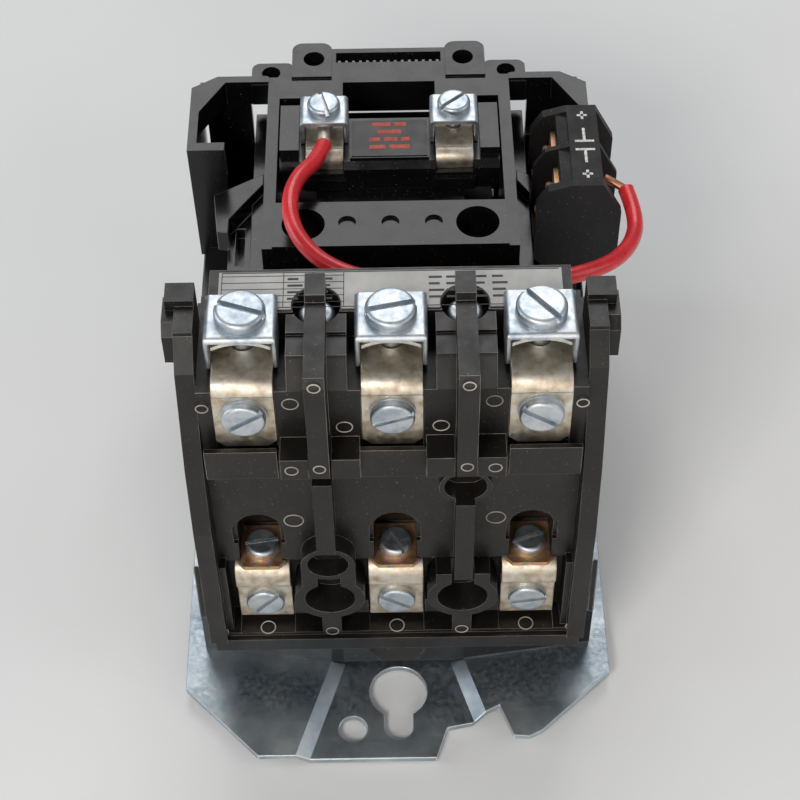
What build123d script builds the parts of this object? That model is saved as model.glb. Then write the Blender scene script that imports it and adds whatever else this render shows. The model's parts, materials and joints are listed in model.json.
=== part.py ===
"""Open three-pole magnetic motor starter on a steel mounting plate, in millimetres.

The starter lies on its back: +Z points out of the mounting plane, -Y is the end that
is uppermost on a wall, and +X is to the right.  The origin is on the mounting plane.
"""
from build123d import *
from math import pi, radians, tan
import os

os.makedirs("parts", exist_ok=True)

# Driving dimensions
POLE_PITCH = 27.0
POLES = (-POLE_PITCH, 0.0, POLE_PITCH)
BARRIERS = (-POLE_PITCH / 2, POLE_PITCH / 2)
SIDES = (-1, 1)
TRAVEL = 5.4            # stroke of the armature and its crossbar, towards -Y
CONTACT_GAP = TRAVEL + 0.1

# Mounting plate
PLATE_T = 1.6
PAN_RISE = 2.0
PLATE_HALF_W = 46.0
PLATE_NEAR = -72.0
PLATE_FAR = 84.0
KEYHOLE_Y = -56.0
SLOT_Y = -64.5
FAR_HOLE = (34.9, 77.0)
PAN_TOP = PLATE_T + PAN_RISE
PLATE_SCREWS = ((-33.0, -30.0), (33.0, -30.0), (-33.0, 50.0), (33.0, 50.0))

# Base moulding
BASE_TOP = 17.0
DECK_TOP = 36.0
BASE_HALF_W = 42.0
FRAME_HALF_W = 44.0
FRAME_NEAR = -8.0
FRAME_FAR = 62.0
WALL = 2.5

# Contact block
BLOCK_HALF_W = 39.0
BLOCK_FAR = -9.0
FLOOR_TOP = 22.0
LIP_NEAR = -54.2
RING_NEAR = -53.3
MID_FACE = -49.5
INNER_WALL = -45.0
SPLIT_Z = 76.6
SHELF_Z = 98.0
LABEL_Z = 105.0
DECK_NEAR = -36.7
DECK_FAR = -26.2
DECK_HALF_W = 33.2
BLOCK_SCREW_Y = -35.3
BLOCK_SCREW_SEAT = 101.0
FASCIA_X = ((-34.9, -21.5), (-6.1, 6.1), (21.5, 34.9))
FASCIA_TOP = 84.6
RIB_T = 3.7
BARRIER_T = 3.5

# Terminals
FRONT_STRAP_W = 11.2
REAR_STRAP_W = 11.1
STRAP_T = 2.0
STRAP_FACE = -50.0
STRAP_END = 82.7
CLAMP_Y = -39.2
SADDLE_TOP = LABEL_Z + 2.0
FRONT_SCREW_Z = 92.6
REAR_STRAP_END = 24.2
REAR_SCREW_Z = 30.6
INNER_SCREW_Y = -46.2
NICHE_R = 4.3
TIP_Y = -33.6           # far face of the fixed straps' inner legs
TIP_T = 1.4
FRONT_TIP_Z = 74.0
REAR_TIP_Z = 56.0

# Crossbar and its arms
BAR_NEAR = TIP_Y + TIP_T + CONTACT_GAP + 7.6
BAR_FAR = BAR_NEAR + 6.0
BAR_Z = (58.0, 72.0)
BAR_MID = (BAR_Z[0] + BAR_Z[1]) / 2
RETURN_SPRING_X = 19.4
ARM_X = (27.8, 31.0)
ARM_Z = (45.0, 58.0)
LUG_NEAR = 54.6         # face of the arm's lug that pushes the auxiliary contact's rod

# Magnet and coil
STACK_Z = (38.0, 56.0)
LEG_HALF = 7.0
OUTER_LEG = (16.6, 23.0)
YOKE_NEAR = 13.0
YOKE_BACK = 22.6
POLE_FACE = 30.5
ARMATURE_BACK = (49.0, 62.0)
COIL_Y = (23.4, 43.0)
COIL_Z = (30.0, 63.6)
COIL_FACE = 72.0
COIL_FRONT = 34.2
COIL_TERMINAL_X = 14.2
COIL_SCREW_Y = 45.6

# Magnet housing and auxiliary contact
HOUSING_FACE = 72.0
PANEL_Y = (10.4, 23.3)
HOUSING_SCREWS = (18.5, 16.8)
WELL_FLOOR = 59.0
POCKET_NEAR = 40.3
INNER_LUG = (17.0, 69.0)
OUTER_LUG = (26.8, 66.0)
RAIL_X = (24.6, 27.2)
POCKET_TOP = 71.4
AUX_X = 40.7
AUX_HALF = 9.25
AUX_Y = (24.0, 49.0)
AUX_Z = (48.0, 75.0)
WIRE_R = 1.75


# Shape helpers
def block(x0, x1, y0, y1, z0, z1):
    """Box between two corners."""
    centre = Pos((x0 + x1) / 2, (y0 + y1) / 2, (z0 + z1) / 2)
    return centre * Box(x1 - x0, y1 - y0, z1 - z0)


def pair(shape):
    """A shape and its mirror image across the centre plane X = 0."""
    return shape + mirror(shape, about=Plane.YZ)


def post(x, y, radius, z0, z1):
    """Cylinder along Z."""
    return Pos(x, y, (z0 + z1) / 2) * Cylinder(radius, z1 - z0)


def stud(x, z, radius, y0, y1):
    """Cylinder along Y."""
    return Pos(x, (y0 + y1) / 2, z) * Rot(X=90) * Cylinder(radius, y1 - y0)


def axle(y, z, radius, x0, x1):
    """Cylinder along X."""
    return Pos((x0 + x1) / 2, y, z) * Rot(Y=90) * Cylinder(radius, x1 - x0)


def prism_z(points, z0, z1):
    """Prism along Z from an outline of (x, y) points."""
    face = make_face(Polyline(*points, close=True))
    return extrude(Pos(0, 0, z0) * face, z1 - z0, dir=(0, 0, 1))


def prism_x(points, x0, x1):
    """Prism along X from an outline of (y, z) points."""
    face = make_face(Polyline(*points, close=True))
    return extrude(Plane.YZ.offset(x0) * face, x1 - x0, dir=(1, 0, 0))


def prism_y(points, y0, y1):
    """Prism along Y from an outline of (x, z) points."""
    face = make_face(Polyline(*points, close=True))
    return extrude(Plane.XZ.offset(-y0) * face, y1 - y0, dir=(0, 1, 0))


def strap(points, thickness, x_mid, width, radius):
    """Flat strip bent along (y, z) points, centred on x_mid."""
    section = trace(FilletPolyline(*points, radius=radius), thickness)
    return extrude(Plane.YZ.offset(x_mid - width / 2) * section, width, dir=(1, 0, 0))


def screw(head_r, head_h, shank_r, shank_l, slot_angle=0.0):
    """Slotted pan-head screw, its head standing on Z = 0 and its shank below."""
    head = Pos(0, 0, head_h / 2) * Cylinder(head_r, head_h)
    head = fillet(head.edges().group_by(Axis.Z)[-1], head_h * 0.4)
    shank = Pos(0, 0, -shank_l / 2) * Cylinder(shank_r, shank_l)
    slot = Pos(0, 0, head_h) * Rot(Z=slot_angle) * Box(3 * head_r, 0.26 * head_r, head_h)
    return head + shank - slot


def facing_near(x, y, z):
    """Placement whose +Z points to -Y."""
    return Pos(x, y, z) * Rot(X=90)


def washer(x, z, inner_r, outer_r, y0, y1):
    """Flat ring along Y."""
    return stud(x, z, outer_r, y0, y1) - stud(x, z, inner_r, y0, y1)


def coil_spring(wire_r, mean_r, turns, length):
    """Open helical spring that stands on Z = 0."""
    path = Helix(pitch=(length - 2 * wire_r) / turns, height=length - 2 * wire_r, radius=mean_r)
    section = Plane(origin=path @ 0, z_dir=path % 0) * Circle(wire_r)
    return Pos(0, 0, wire_r) * sweep(section, path=path)


# Mounting plate and base
def plate_outline():
    """Plan of the plate, with the cut-away at the right of the near end."""
    return [
        (-PLATE_HALF_W, -55.5), (-29.8, PLATE_NEAR), (8.0, PLATE_NEAR), (10.4, -64.9), (15.7, -63.9),
        (21.7, -60.7), (24.4, -68.0), (27.7, -68.3), (30.6, -66.9), (PLATE_HALF_W, -52.9),
        (PLATE_HALF_W, PLATE_FAR - 6), (PLATE_HALF_W - 6, PLATE_FAR), (6 - PLATE_HALF_W, PLATE_FAR),
        (-PLATE_HALF_W, PLATE_FAR - 6),
    ]


def raised_pans():
    """Solid under the two raised pans, with 3 mm wide ramps around the low centre strip."""
    low = make_face(Polyline((11.5, 70), (11.5, -49), (21.5, -80), (60, -80), (60, 70), close=True))
    high = make_face(Polyline((14.5, 67), (14.5, -49.4), (24.5, -80), (60, -80), (60, 67), close=True))
    return pair(loft([low, Pos(0, 0, PAN_RISE) * high], ruled=True))


def base_plate():
    pans = raised_pans()
    sheet = prism_z(plate_outline(), 0, PLATE_T)
    raised = (Pos(0, 0, PLATE_T) * pans) & prism_z(plate_outline(), 0, 2 * PAN_TOP)
    plate = sheet + raised - pans
    keyhole = post(0, KEYHOLE_Y, 6.2, -1, 9) + post(0, SLOT_Y, 3.05, -1, 9)
    keyhole += block(-3.05, 3.05, SLOT_Y, KEYHOLE_Y, -1, 9)
    far_holes = pair(post(*FAR_HOLE, 2.8, -1, 9))
    screw_holes = [post(x, y, 1.9, -1, 9) for x, y in PLATE_SCREWS]
    return plate - keyhole - post(-9.8, -64.9, 3.0, -1, 9) - far_holes - screw_holes


def base_moulding():
    chevron = [
        (-BASE_HALF_W, -45.3), (-11.5, -49.5), (11.5, -49.5), (BASE_HALF_W, -45.3),
        (BASE_HALF_W, FRAME_NEAR), (-BASE_HALF_W, FRAME_NEAR),
    ]
    tray = prism_z(chevron, PAN_TOP, BASE_TOP)
    tray -= block(-39.5, 39.5, -42, FRAME_NEAR + 1, PAN_TOP + 3, BASE_TOP + 1)
    deck = block(-FRAME_HALF_W, FRAME_HALF_W, FRAME_NEAR, FRAME_FAR, PAN_TOP, DECK_TOP)
    deck -= block(-41.5, 41.5, FRAME_NEAR + WALL, FRAME_FAR - WALL, PAN_TOP + 3, DECK_TOP - 3)
    deck -= block(-31.5, 31.5, FRAME_NEAR + WALL, FRAME_FAR - WALL, DECK_TOP - 4, DECK_TOP + 1)
    prong = prism_x([(-46, BASE_TOP), (-44.9, 35.4), (-42.5, BASE_TOP)], 40.6, BASE_HALF_W)
    bosses = [post(x, y, 4.5, PAN_TOP, PAN_TOP + 7) for x, y in PLATE_SCREWS]
    holes = [post(x, y, 1.9, -1, PAN_TOP + 8) for x, y in PLATE_SCREWS]
    return tray + deck + pair(prong) + bosses - holes


def plate_screws():
    """Four screws that hold the base moulding to the plate, from the inside."""
    length = 9.0
    head_z = PAN_TOP + 7
    return Part() + [Pos(x, y, head_z) * screw(3.4, 2.2, 1.9, length, 30) for x, y in PLATE_SCREWS]


# Contact block, lower moulding
def side_barrier():
    """Right outer barrier, with its stepped head, grip plate and the post beside the rear terminal."""
    front = [
        (-31.8, FLOOR_TOP - 2), (-54.3, FLOOR_TOP - 2), (-54.3, 60), (-52.4, 78), (-47.2, 100.4),
        (-42.6, 105.6), (-42.6, 106.6), (-36.3, 106.6), (-36.3, 108), (-31.8, 108),
    ]
    wall = prism_x(front, BLOCK_HALF_W - BARRIER_T, BLOCK_HALF_W)
    head = block(BLOCK_HALF_W - BARRIER_T, 40.8, -36.3, -31.8, 97, 108)
    grip = prism_x([(-41, 96.5), (-41, 103.5), (-39, 105.5), (-33, 105.5), (-33, 96.5)], BLOCK_HALF_W, 41.4)
    rail = prism_x([(-52, 22), (-52, 45), (-47, 45), (-47, 22)], 34.2, BLOCK_HALF_W - BARRIER_T)
    return wall + head + grip + rail


def bridge_ring(x):
    """Open ring on the near face between two poles, with a tab down to the lip."""
    centre_z = 35.1
    back = -46.5
    ring = stud(x, centre_z, 7.15, RING_NEAR, back)
    ring += block(x - 5.4, x + 5.4, RING_NEAR, back, 38.2, 43.4)
    ring += block(x - 1.95, x + 1.95, RING_NEAR, back, FLOOR_TOP, 30)
    ring += block(x - 7.6, x + 7.6, RING_NEAR + 2.4, back, 26, 30.5)
    ring -= stud(x, centre_z, 5.15, RING_NEAR - 1, -46)
    return ring - block(x - 2.35, x + 2.35, RING_NEAR - 1, MID_FACE, centre_z, 44)


def lower_ribs():
    """Ribs between the poles on the near face, and the small rings that they meet."""
    left, right = BARRIERS
    back = -46.5
    rib_near = -55.0
    rib_left = block(left - RIB_T / 2, left + RIB_T / 2, rib_near, back, 53.6, SPLIT_Z)
    rib_right = block(right - RIB_T / 2, right + RIB_T / 2, rib_near, back, 43.9, 69.5)
    ring_left = stud(left, 47.5, 5.3, RING_NEAR, back)
    ring_left += block(left - 5.4, left + 5.4, RING_NEAR, back, 43.4, 48)
    ring_left -= stud(left, 47.5, 4.1, RING_NEAR - 1, -48)
    ring_right = stud(right, 73.2, 5.0, RING_NEAR, back) & block(0, 30, -60, -40, 60, SPLIT_Z)
    ring_right -= stud(right, 73.2, 4.1, -58, -48)
    return rib_left + rib_right + ring_left + ring_right


def terminal_niche(x):
    """Arched niche above one rear strap, with a shallow step around its arch."""
    arch_z = 54.2
    opening = block(x - NICHE_R, x + NICHE_R, -56, -40.4, 44.0, arch_z) + stud(x, arch_z, NICHE_R, -56, -40.4)
    step_r = NICHE_R + 0.8
    step = block(x - step_r, x + step_r, -56, MID_FACE + 1, 50, arch_z + 0.6)
    return opening + step + stud(x, arch_z + 0.6, step_r, -56, MID_FACE + 1)


def contact_block_base():
    inner_half = BLOCK_HALF_W - BARRIER_T
    body = block(-inner_half, inner_half, -46.5, BLOCK_FAR, BASE_TOP, SPLIT_Z)
    body += block(-35.4, 35.4, MID_FACE, -46.5, 44.0, SPLIT_Z)
    body += block(-BLOCK_HALF_W, BLOCK_HALF_W, -37, BLOCK_FAR, BASE_TOP, SPLIT_Z)
    body += block(-38.1, 38.1, LIP_NEAR, -37, BASE_TOP, FLOOR_TOP - 1)
    body += block(-38.1, 38.1, LIP_NEAR + 1.2, -37, BASE_TOP, FLOOR_TOP)
    body -= block(-36.5, 36.5, INNER_WALL, BLOCK_FAR - WALL, FLOOR_TOP, SPLIT_Z + 1)
    body += [block(x - 7.5, x + 7.5, INNER_WALL, -39.6, 38, 61) for x in POLES]
    body += [post(x, BLOCK_SCREW_Y, 3.6, FLOOR_TOP, SPLIT_Z) for x in BARRIERS]
    body += pair(side_barrier())
    body += [bridge_ring(x) for x in BARRIERS] + [lower_ribs()]
    body -= [terminal_niche(x) for x in POLES]
    slot_half = REAR_STRAP_W / 2 + 0.1
    body -= [block(x - slot_half, x + slot_half, -53, -34, 41.0, 44.25) for x in POLES]
    body -= [block(x - slot_half, x + slot_half, -53, STRAP_FACE + STRAP_T, 21.9, 44.05) for x in POLES]
    body -= [stud(x, REAR_SCREW_Z, 2.0, -49, -44) for x in POLES]
    body -= [post(x, INNER_SCREW_Y, 1.85, 34, 42) for x in POLES]
    arm_slot = block(ARM_X[0] - 0.5, ARM_X[1] + 0.5, BLOCK_FAR - 4, BLOCK_FAR + 1, ARM_Z[0] - 0.6, BAR_Z[1])
    return body - pair(arm_slot) - [post(x, BLOCK_SCREW_Y, 1.6, 34, 90) for x in BARRIERS]


# Contact block, front moulding
def upper_rib(x):
    """Tall rib between two front terminals, with stepped buttresses and a foot on each side."""
    rib = prism_x(
        [(-57, 81.6), (-57, 107.8), (-55.8, 109.4), (-38.4, 109.4), (-38, 111), (-32.7, 111), (-32.7, 107.2),
         (-37.2, 107.2), (-37.2, SHELF_Z - 1), (-48, SHELF_Z - 1), (-48, 81.6)],
        x - RIB_T / 2, x + RIB_T / 2,
    )
    steps = prism_x(
        [(MID_FACE, SHELF_Z - 1), (MID_FACE, SHELF_Z), (-46.6, 103.6), (-46.4, 104.3), (-41.6, 104.3),
         (-41.6, 105), (-37.2, 105), (-37.2, SHELF_Z - 1)],
        x - RIB_T / 2 - 3.6, x + RIB_T / 2 + 3.6,
    )
    foot = block(RIB_T / 2 + 0.3, RIB_T / 2 + 5.5, -55, -48, 78.8, FASCIA_TOP)
    return rib + steps + Pos(x, 0, 0) * pair(foot)


def strap_recess(x):
    """Hollow in the front moulding that one front strap lies in."""
    half = FRONT_STRAP_W / 2 + 0.1
    back = STRAP_FACE + STRAP_T
    recess = block(x - half, x + half, MID_FACE - 1, back, 80.5, SHELF_Z - 1.9)
    recess += prism_x([(MID_FACE - 1, SHELF_Z - 2), (MID_FACE - 1, SHELF_Z + 1), (back + 3, SHELF_Z + 1),
                       (back + 1, SHELF_Z - 0.4), (back, SHELF_Z - 2)], x - half, x + half)
    return recess + block(x - half, x + half, -37.1, TIP_Y + 0.2, 70, SHELF_Z + STRAP_T + 0.1)


def fascia(x0, x1):
    """Thin wall in front of one strap's lower end, with the ledge behind it."""
    wall = block(x0, x1, -53, -52, SPLIT_Z, FASCIA_TOP)
    return wall + block(x0, x1, -52, -48, SPLIT_Z, 79)


def contact_block_front():
    half = BLOCK_HALF_W - BARRIER_T - 0.05
    body = block(-half, half, MID_FACE, DECK_FAR, SPLIT_Z, SHELF_Z)
    body += block(-DECK_HALF_W, DECK_HALF_W, DECK_NEAR, DECK_FAR, SHELF_Z, LABEL_Z)
    body += block(-half, half, -30, BLOCK_FAR, SPLIT_Z, 82)
    body -= block(-half + WALL, half - WALL, -45.8, -29, SPLIT_Z - 1, 95)
    body -= block(-half + WALL, half - WALL, -32, BLOCK_FAR - WALL, SPLIT_Z - 1, 79.5)
    body += [post(x, BLOCK_SCREW_Y, 3.6, SPLIT_Z, 96) for x in BARRIERS]
    body += [fascia(*ends) for ends in FASCIA_X] + [upper_rib(x) for x in BARRIERS]
    body -= [strap_recess(x) for x in POLES]
    body -= [post(x, CLAMP_Y, 2.3, 90, 101) for x in POLES]
    body -= [stud(x, FRONT_SCREW_Z, 1.95, -49, -44) for x in POLES]
    body -= [post(x, BLOCK_SCREW_Y, 4.4, BLOCK_SCREW_SEAT, 107) for x in BARRIERS]
    return body - [post(x, BLOCK_SCREW_Y, 1.6, 70, 102) for x in BARRIERS]


def rating_label():
    """Thin metal label with two round notches beside the block screws."""
    plate = block(-31.4, 31.4, DECK_NEAR + 0.5, DECK_FAR - 0.9, LABEL_Z, LABEL_Z + 0.3)
    return plate - [post(x, BLOCK_SCREW_Y, 4.6, 100, 110) for x in BARRIERS]


def block_screws():
    """Two long screws that clamp the front moulding to the lower one."""
    return Part() + [Pos(x, BLOCK_SCREW_Y, BLOCK_SCREW_SEAT) * screw(3.3, 2.4, 1.6, 65, 65) for x in BARRIERS]


# Front terminals
def front_strap(x):
    """Strap from the inner leg, over the shelf and down the near face."""
    inner = TIP_Y - STRAP_T / 2
    top = SHELF_Z + STRAP_T / 2
    outer = STRAP_FACE + STRAP_T / 2
    body = strap([(inner, FRONT_TIP_Z - 4), (inner, top), (outer, top), (outer, STRAP_END)],
                 STRAP_T, x, FRONT_STRAP_W, 2.0)
    body -= post(x, CLAMP_Y, 2.2, 90, 110)
    corner = 1.6
    edge = FRONT_STRAP_W / 2
    for side in SIDES:
        outline = [(x + side * edge, STRAP_END), (x + side * (edge - corner), STRAP_END),
                   (x + side * edge, STRAP_END + corner)]
        body -= prism_y(outline, -52, -46)
    return body - stud(x, FRONT_SCREW_Z, 2.05, -52, -46)


def saddle_clamp(x):
    """Saddle with two side legs that straddle the strap."""
    outer = 6.55
    near, far = -44.9, -34.0
    under = SADDLE_TOP - 1.1
    saddle = block(x - outer, x + outer, near, far, 99.3, SADDLE_TOP)
    saddle -= block(x - 5.65, x + 5.65, near - 1, far + 1, 99, under)
    saddle -= block(x - 7, x + 7, -37.0, far + 1, 99, under)
    saddle = fillet(saddle.edges().filter_by(Axis.Z).group_by(Axis.Y)[0], 0.3)
    crown = saddle.edges().filter_by(Axis.Y).group_by(Axis.Z)[-1]
    return fillet(crown, 0.9) - post(x, CLAMP_Y, 2.15, 90, 110)


def pressure_plate(x):
    """Plate under the saddle, bowed up in the middle, that presses on the conductor."""
    half, thick = 5.4, 0.9
    crown = SADDLE_TOP - 1.3
    low = crown - 1.6
    profile = make_face(
        ThreePointArc((x - half, low), (x, crown), (x + half, low))
        + Polyline((x + half, low), (x + half, low - thick))
        + ThreePointArc((x + half, low - thick), (x, crown - thick), (x - half, low - thick))
        + Polyline((x - half, low - thick), (x - half, low))
    )
    plate = extrude(Plane.XZ.offset(44.2) * profile, 7.2, dir=(0, 1, 0))
    return plate - post(x, CLAMP_Y, 2.1, 90, 110)


FRONT_SLOT_ANGLES = (-20, 12, -50)
REAR_SLOT_ANGLES = (50, -35, 10)


def clamp_screw(index):
    return Pos(POLES[index], CLAMP_Y, SADDLE_TOP) * screw(4.7, 2.3, 2.0, 14, FRONT_SLOT_ANGLES[index])


def front_strap_screws():
    """Screws with a spring washer each, fixing the straps to the moulding."""
    screws = Part()
    washer_face = STRAP_FACE - 0.7
    for x, angle in zip(POLES, (35, 20, -35)):
        screws += facing_near(x, washer_face, FRONT_SCREW_Z) * screw(4.1, 1.7, 1.9, 5.4, angle)
        screws += washer(x, FRONT_SCREW_Z, 1.9, 4.3, washer_face, STRAP_FACE)
    return screws


# Rear terminals
def rear_strap(x):
    """Strap from the outer face, out over a bulge, through the block and up to the fixed contact."""
    inner = TIP_Y - STRAP_T / 2
    low = 42.0
    outer = STRAP_FACE + STRAP_T / 2
    jog = outer - 1.4
    points = [(outer, REAR_STRAP_END), (outer, 35.4), (jog, 37.2), (jog, low), (inner, low), (inner, 60)]
    body = strap(points, STRAP_T, x, REAR_STRAP_W, [1.4, 1.4, 2.0, 2.2])
    return body - stud(x, REAR_SCREW_Z, 2.05, -53, -46) - post(x, INNER_SCREW_Y, 1.85, 40, 44)


def rear_plates():
    """Octagonal plated washers under the front-facing screws."""
    plates = Part()
    half, inner_half, corner = 4.9, NICHE_R - 0.1, 1.4
    near = -51.2
    for x in POLES:
        outline = [
            (-half, near + corner), (corner - half, near), (half - corner, near), (half, near + corner),
            (half, MID_FACE - 0.1), (inner_half, MID_FACE - 0.1), (inner_half, -41.0),
            (-inner_half, -41.0), (-inner_half, MID_FACE - 0.1), (-half, MID_FACE - 0.1),
        ]
        plates += Pos(x, 0, 0) * (prism_z(outline, 43.0, 44.1) - post(0, INNER_SCREW_Y, 1.9, 40, 50))
    return plates


def rear_inner_screws():
    return Part() + [
        Pos(x, INNER_SCREW_Y, 44.1) * screw(3.35, 1.9, 1.8, 9, angle)
        for x, angle in zip(POLES, (8, -60, 20))
    ]


def rear_outer_screws():
    return Part() + [
        facing_near(x, STRAP_FACE, REAR_SCREW_Z) * screw(3.95, 1.6, 2.0, 5.6, angle)
        for x, angle in zip(POLES, REAR_SLOT_ANGLES)
    ]


def fixed_contacts(z):
    """Silver-alloy buttons on the straps' inner legs, at one height."""
    return Part() + [stud(x, z, 3.2, TIP_Y, TIP_Y + TIP_T) for x in POLES]


# Moving contacts and crossbar
def contact_bridge(x):
    """Copper bridge with a silver-alloy button at each end."""
    near = TIP_Y + TIP_T + CONTACT_GAP
    bar = block(x - 3.8, x + 3.8, near + TIP_T, near + TIP_T + 1.8, REAR_TIP_Z - 4, FRONT_TIP_Z + 4)
    return bar + [stud(x, z, 3.2, near, near + TIP_T) for z in (REAR_TIP_Z, FRONT_TIP_Z)]


def crossbar_cage(x):
    """Guide on the crossbar that holds one bridge against its spring."""
    near = TIP_Y + TIP_T + CONTACT_GAP
    cap_near = near - 0.6
    z0, z1 = BAR_MID - 3.4, BAR_MID + 3.4
    posts = pair(block(3.9, 5.2, cap_near, BAR_NEAR, z0, z1))
    cap = block(-5.2, 5.2, cap_near, near + TIP_T, z0, z1)
    return Pos(x, 0, 0) * (posts + cap)


def crossbar():
    bar = block(-33, 33, BAR_NEAR, BAR_FAR, *BAR_Z)
    bar += [crossbar_cage(x) for x in POLES]
    tongue = block(ARM_X[0], ARM_X[1], BAR_NEAR - 1, BAR_FAR + 1, BAR_Z[0] - 1, BAR_Z[1] - 2)
    guides = pair(stud(RETURN_SPRING_X, BAR_MID, 2.35, BAR_NEAR - 1, BAR_FAR + 1))
    return bar - pair(tongue) - guides - pair(axle(BAR_NEAR + 3, BAR_MID, 1.5, 24, 34))


def bridge_springs():
    """Contact-pressure springs between the crossbar and the bridges."""
    near = TIP_Y + TIP_T + CONTACT_GAP + TIP_T + 1.8
    length = BAR_NEAR - near
    return Part() + [facing_near(x, BAR_NEAR, BAR_MID) * coil_spring(0.5, 2.8, 3, length) for x in POLES]


def return_springs():
    """Springs in the crossbar's guide holes that open the contacts."""
    spring = coil_spring(0.4, 1.7, 10, BAR_FAR - INNER_WALL)
    return Part() + [facing_near(side * RETURN_SPRING_X, BAR_FAR, BAR_MID) * spring for side in SIDES]


def armature_carrier():
    """Moulded frame behind the armature, with an arm along each side to the crossbar."""
    back = block(-ARM_X[1], ARM_X[1], ARMATURE_BACK[1], ARMATURE_BACK[1] + 4, 42, 58)
    arm = block(ARM_X[0], ARM_X[1], BAR_NEAR, ARMATURE_BACK[1] + 4, *ARM_Z)
    tongue = block(ARM_X[0], ARM_X[1], BAR_NEAR, BAR_FAR, ARM_Z[0], BAR_Z[1] - 2)
    shoulder = block(23.2, ARM_X[1], 53, ARMATURE_BACK[1], 45, 58)
    carrier = back + pair(arm + tongue + shoulder)
    wing = block(-36.0, -ARM_X[1], 13, 44, ARM_Z[0], 56) - block(-34.4, -ARM_X[1] - 1.4, 20, 31, 53, 57)
    flag = prism_z([(-39.3, 36.7), (-28.4, 43.3), (-28.4, 40.1), (-35.7, 29.4), (-35.7, 25.2), (-38.2, 25.8)],
                   ARM_Z[1] - 3, ARM_Z[1] + 3)
    carrier += wing + flag
    fin = [(28.4, 43.3), (ARM_X[1], 41.7), (ARM_X[1], 36), (28.4, 40)]
    carrier += prism_z(fin, ARM_Z[1] - 1, ARM_Z[1] + 3)
    carrier += block(ARM_X[1], 40.6, LUG_NEAR, LUG_NEAR + 2.5, 52, 61)
    return carrier - pair(axle(BAR_NEAR + 3, BAR_MID, 1.5, 24, 34)) - pair(axle(55.5, 50, 1.5, 20, 32))


def armature():
    """E-shaped laminated armature that slides with the carrier."""
    near, far = ARMATURE_BACK
    leg_end = POLE_FACE + TRAVEL + 0.1
    body = block(-OUTER_LEG[1], OUTER_LEG[1], near, far, *STACK_Z)
    body += block(-LEG_HALF, LEG_HALF, leg_end, near, *STACK_Z)
    body += pair(block(OUTER_LEG[0], OUTER_LEG[1], leg_end, near, *STACK_Z))
    return body - pair(axle(55.5, 50, 1.5, 8, 24))


def carrier_pins():
    """Cross pins that hold the armature and the crossbar in the carrier."""
    return pair(axle(55.5, 50, 1.5, 9, ARM_X[1]) + axle(BAR_NEAR + 3, BAR_MID, 1.5, 24.5, 33))


# Magnet and coil
def magnet_yoke():
    """Fixed E-shaped laminated yoke under the housing's panel."""
    body = block(-OUTER_LEG[1], OUTER_LEG[1], YOKE_NEAR, YOKE_BACK, *STACK_Z)
    body += block(-LEG_HALF, LEG_HALF, YOKE_BACK, POLE_FACE, *STACK_Z)
    body += pair(block(OUTER_LEG[0], OUTER_LEG[1], YOKE_BACK, POLE_FACE, *STACK_Z))
    groove = block(OUTER_LEG[0] + 2.2, OUTER_LEG[0] + 3.4, POLE_FACE - 1.6, POLE_FACE + 1, 38, 62)
    return body - pair(groove) - pair(post(*HOUSING_SCREWS, 1.8, 46, 60))


def shading_rings():
    """Copper shading rings let into the yoke's outer pole faces."""
    x0, x1 = OUTER_LEG[0] + 2.2, OUTER_LEG[1] + 0.6
    inner = block(OUTER_LEG[0] + 3.4, OUTER_LEG[1], POLE_FACE - 2, POLE_FACE + 1, *STACK_Z)
    ring = block(x0, x1, POLE_FACE - 1.6, POLE_FACE, STACK_Z[0] - 0.8, STACK_Z[1] + 0.8) - inner
    return pair(ring)


def coil_bobbin():
    """Flanged former around the centre legs."""
    y0, y1 = COIL_Y
    low, high = COIL_Z
    outer = block(-9.2, 9.2, y0 + 1.2, y1 - 1.2, STACK_Z[0] - 2.2, STACK_Z[1] + 2.2)
    flanges = block(-15.2, 15.2, y0 + 1.2, y0 + 2.6, low, high)
    flanges += block(-15.2, 15.2, y1 - 2.6, y1 - 1.2, low, high)
    return outer + flanges - block(-7.6, 7.6, y0, y1, STACK_Z[0] - 0.6, STACK_Z[1] + 0.6)


def coil_winding():
    """Copper wire pack on the former."""
    y0, y1 = COIL_Y
    pack = block(-15.2, 15.2, y0 + 2.6, y1 - 2.6, *COIL_Z)
    return pack - block(-9.2, 9.2, y0, y1, STACK_Z[0] - 2.2, STACK_Z[1] + 2.2)


def coil_case():
    """Moulded case around the winding, with the terminal block and label field on top."""
    y0, y1 = COIL_Y
    low, high = COIL_Z
    top = block(-24, 24, COIL_FRONT, 49, high + 1.3, COIL_FACE)
    top = chamfer(top.edges().filter_by(Axis.X).group_by(Axis.Y)[0].sort_by(Axis.Z)[-1], 1.3)
    case = block(-16.2, 16.2, y0, y1, low - 1.2, high + 1.3) + top
    case += block(-8.6, 8.6, COIL_FRONT + 1.4, 47.5, COIL_FACE, COIL_FACE + 0.9)
    case += pair(block(19.8, 24, COIL_FRONT + 3, 51.4, COIL_FACE - 4, COIL_FACE + 2))
    lip = block(9.4, 18.8, COIL_FRONT - 0.9, COIL_FRONT, 65.2, 68.4)
    case += pair(fillet(lip.edges().filter_by(Axis.Z), 0.4))
    seat_x = (COIL_TERMINAL_X - 4.2, COIL_TERMINAL_X + 4.2)
    case -= pair(block(*seat_x, COIL_FRONT - 0.1, COIL_FRONT + 2.8, 69.5, COIL_FACE + 0.1))
    seat_y = COIL_FRONT + 2.7
    case -= pair(prism_x([(seat_y, 69.5), (seat_y, 72.1), (seat_y + 1.9, 72.1)], *seat_x))
    case -= block(-15.2, 15.2, y0 + 1.2, y1 - 1.2, low, high)
    case -= block(-7.6, 7.6, y0 - 1, y1 + 1, STACK_Z[0] - 0.6, STACK_Z[1] + 0.6)
    return case - pair(post(COIL_TERMINAL_X, COIL_SCREW_Y, 1.7, 69, 80))


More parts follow.
